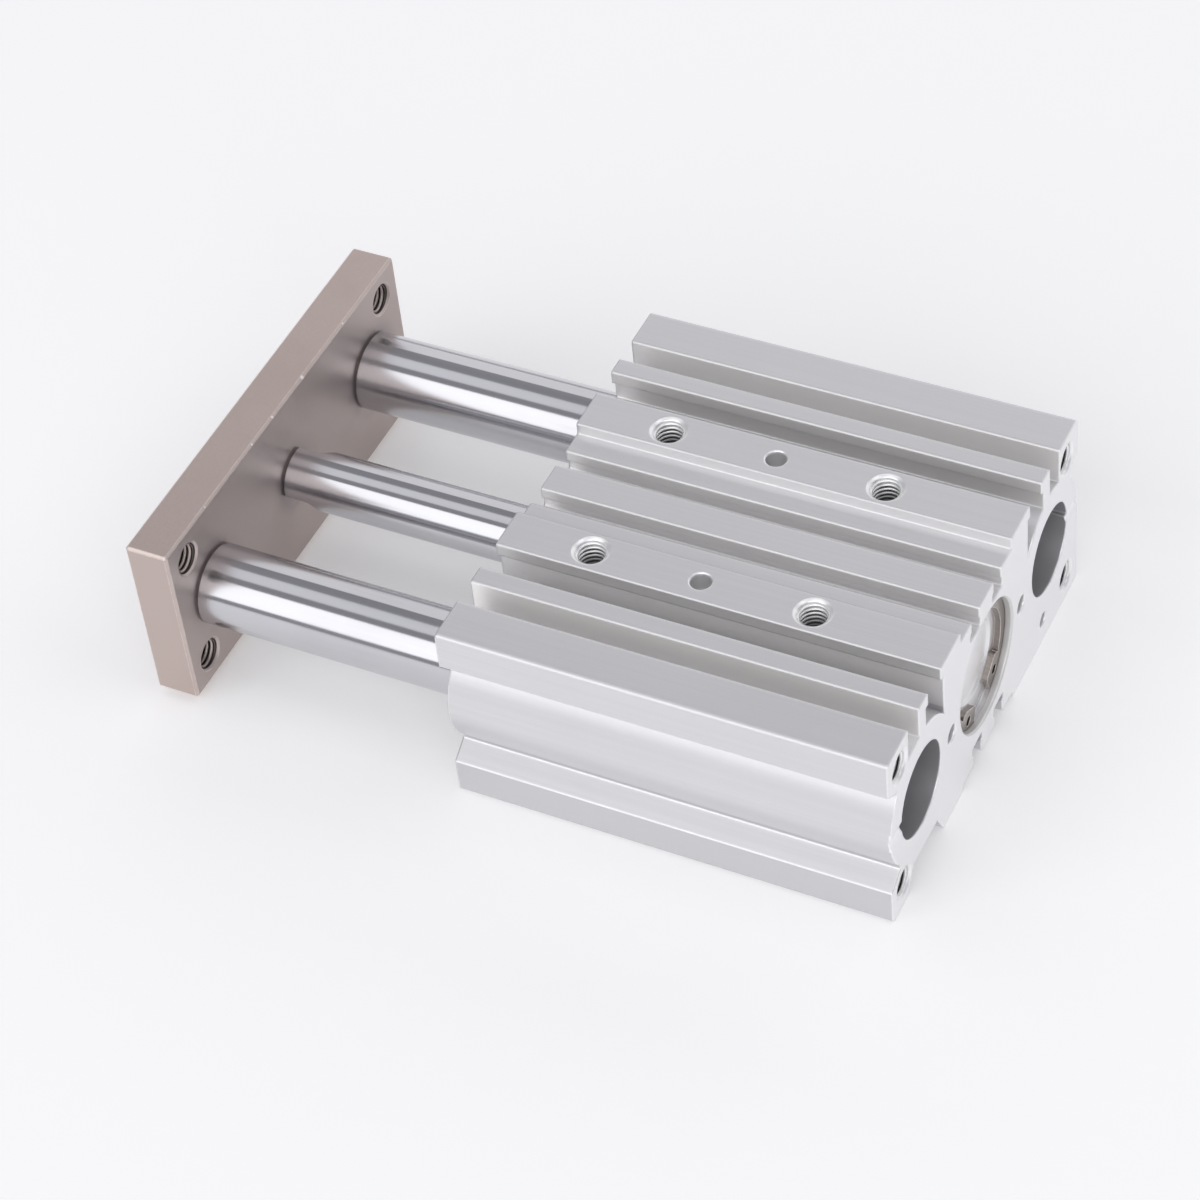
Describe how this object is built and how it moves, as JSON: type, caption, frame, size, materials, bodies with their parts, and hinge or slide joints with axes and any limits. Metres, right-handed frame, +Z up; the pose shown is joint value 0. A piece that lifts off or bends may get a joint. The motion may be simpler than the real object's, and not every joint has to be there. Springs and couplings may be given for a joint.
{
  "type": "guided pneumatic cylinder",
  "caption": "Compact pneumatic cylinder with guide rods beside its piston rod, a slotted extruded body and an end plate, shown with its rods out.",
  "frame": {"origin": "centre of the rear face's four mounting holes, on the cylinder's axis in the rear face", "axes": "+X along the stroke from the rear face to the end plate, +Z up out of the top face, +Y towards the side without ports"},
  "size_m": [0.1535, 0.093, 0.042],
  "materials": {
    "anodised_alloy": "matte, anodised",
    "plated_steel": "satin, plated",
    "hard_chrome": "polished",
    "turned_alloy": "finely turned",
    "spring_steel": "oiled, brown-grey",
    "seal_rubber": "matte",
    "bumper_rubber": "matte",
    "guide_resin": "matte",
    "magnet_compound": "matte",
    "bearing_bronze": "sintered, oiled",
    "screw_steel": "satin, plated"
  },
  "bodies": {
    "cylinder_body": {"body": "anodised_alloy", "head_cover": "turned_alloy", "head_cover_ring": "spring_steel", "head_cover_o_ring": "seal_rubber", "rear_bumper": "bumper_rubber", "front_bumper": "bumper_rubber", "rod_cover": "turned_alloy", "rod_cover_o_ring": "seal_rubber", "rod_bush": "bearing_bronze", "rod_seal": "seal_rubber", "rod_cover_ring": "spring_steel", "guide_bush_near_front": "bearing_bronze", "guide_bush_near_rear": "bearing_bronze", "guide_bush_far_front": "bearing_bronze", "guide_bush_far_rear": "bearing_bronze", "guide_wiper_near": "seal_rubber", "guide_wiper_far": "seal_rubber", "guide_wiper_ring_near": "spring_steel", "guide_wiper_ring_far": "spring_steel", "side_port_plugs": "screw_steel", "passage_ball": "screw_steel"},
    "rods_and_plate": {"end_plate": "plated_steel", "guide_rod_near": "hard_chrome", "guide_rod_far": "hard_chrome", "piston_rod": "hard_chrome", "piston": "turned_alloy", "piston_seal": "seal_rubber", "piston_wear_ring": "guide_resin", "piston_magnet": "magnet_compound", "piston_o_ring": "seal_rubber", "guide_rod_screws": "screw_steel", "piston_rod_screw": "screw_steel"}
  },
  "joints": [
    {"name": "plate_slide", "type": "slide", "parent": "cylinder_body", "child": "rods_and_plate", "axis": [1, 0, 0], "range_m": [-0.05, 0]}
  ]
}
